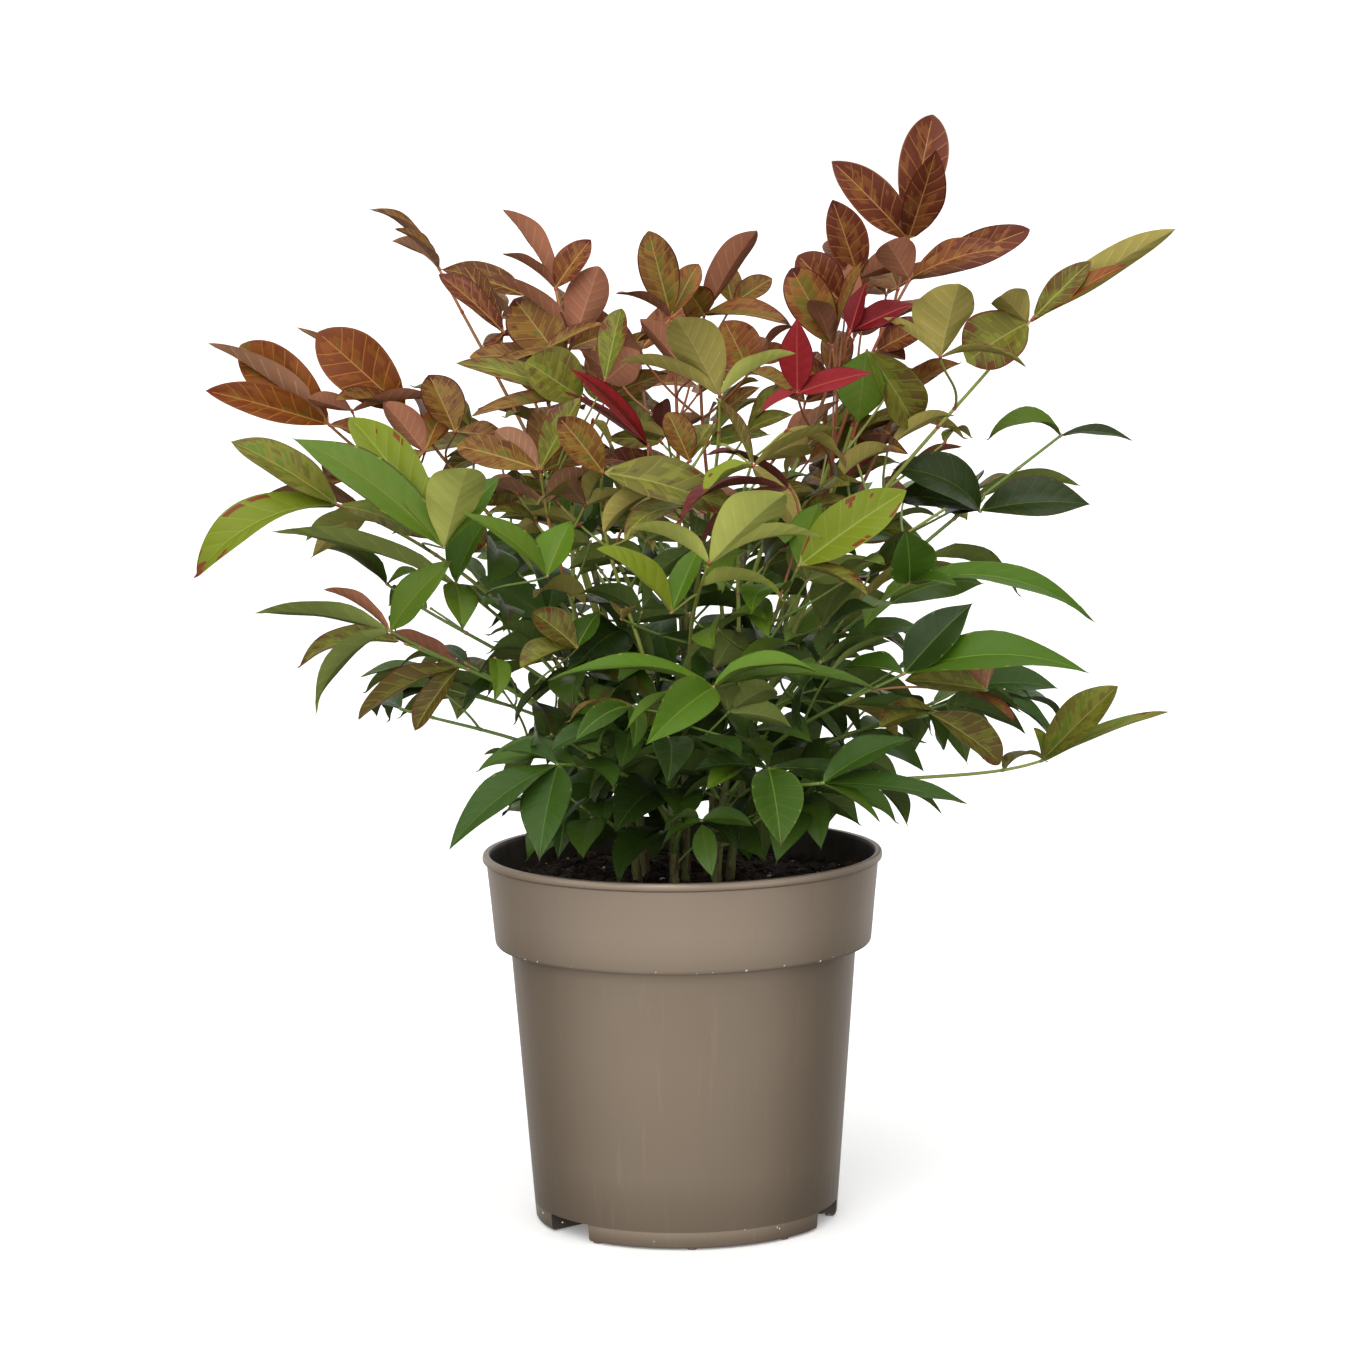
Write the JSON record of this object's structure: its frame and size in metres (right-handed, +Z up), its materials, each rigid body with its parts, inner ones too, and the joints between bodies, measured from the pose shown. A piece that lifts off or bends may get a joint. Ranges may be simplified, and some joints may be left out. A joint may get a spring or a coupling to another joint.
{
  "type": "potted heavenly bamboo",
  "caption": "Heavenly bamboo shrub in a round plastic nursery pot: a clump of thin canes with spreading compound leaves of pointed leaflets above a tapering pot with a deep collar.",
  "frame": {"origin": "middle of the pot's flat underside, on the pot's axis", "axes": "+Z up the pot's axis, +X to the plant's right as seen from its front, +Y to its back"},
  "size_m": [0.4055, 0.4126, 0.4716],
  "materials": {
    "plastic": "satin",
    "compost": "matte",
    "cane": "satin",
    "leaf_deep": "satin",
    "leaf_olive": "satin",
    "leaf_bright": "satin",
    "leaf_green": "satin",
    "leaf_dark": "satin",
    "leaf_bronze": "satin",
    "leaf_lime": "satin",
    "leaf_copper": "satin",
    "leaf_rust": "satin"
  },
  "bodies": {
    "root": {"pot": "plastic", "soil": "compost", "cane_1": "cane", "cane_2": "cane", "cane_3": "cane", "cane_4": "cane", "cane_5": "cane", "cane_6": "cane", "cane_7": "cane", "cane_8": "cane", "frond_low_front": "leaf_deep", "frond_low_inner_left": "leaf_deep", "frond_low_inner_right": "leaf_deep", "frond_low_inner_back": "leaf_deep", "frond_right_lowest": "leaf_olive", "frond_low_right_front": "leaf_deep", "frond_low_front_right": "leaf_bright", "frond_low_left_front": "leaf_deep", "frond_back_6": "leaf_deep", "frond_back_9": "leaf_deep", "frond_back_12": "leaf_green", "frond_low_mid": "leaf_deep", "frond_right_low_far": "leaf_green", "frond_left_mid_low": "leaf_olive", "frond_right_low_near": "leaf_green", "frond_front_green": "leaf_bright", "frond_right_inner": "leaf_deep", "frond_back_3": "leaf_green", "frond_left_mid_high": "leaf_green", "frond_left_dark": "leaf_dark", "frond_left_inner": "leaf_green", "frond_right_mid": "leaf_green", "frond_back_5": "leaf_bronze", "frond_back_8": "leaf_green", "frond_right_centre": "leaf_bright", "frond_back_2": "leaf_olive", "frond_front_lime": "leaf_lime", "frond_back_11": "leaf_olive", "frond_far_left_low": "leaf_lime", "frond_mid_left": "leaf_bronze", "frond_mid_centre": "leaf_olive", "frond_centre_olive": "leaf_olive", "frond_right_high": "leaf_dark", "frond_far_left_high": "leaf_bronze", "frond_back_1": "leaf_copper", "frond_left_bronze": "leaf_rust", "frond_back_7": "leaf_rust", "frond_lime_heart": "leaf_lime", "frond_back_10": "leaf_copper", "frond_right_hang": "leaf_olive", "frond_upper_right_near": "leaf_copper", "frond_long_right": "leaf_olive", "frond_top_mid_left": "leaf_copper", "frond_top_mid_right": "leaf_copper", "frond_back_4": "leaf_bronze", "frond_top_left_mid": "leaf_bronze", "frond_top_right": "leaf_copper", "frond_upper_right_far": "leaf_copper", "frond_top_left": "leaf_bronze", "frond_spire": "leaf_copper"}
  },
  "joints": []
}
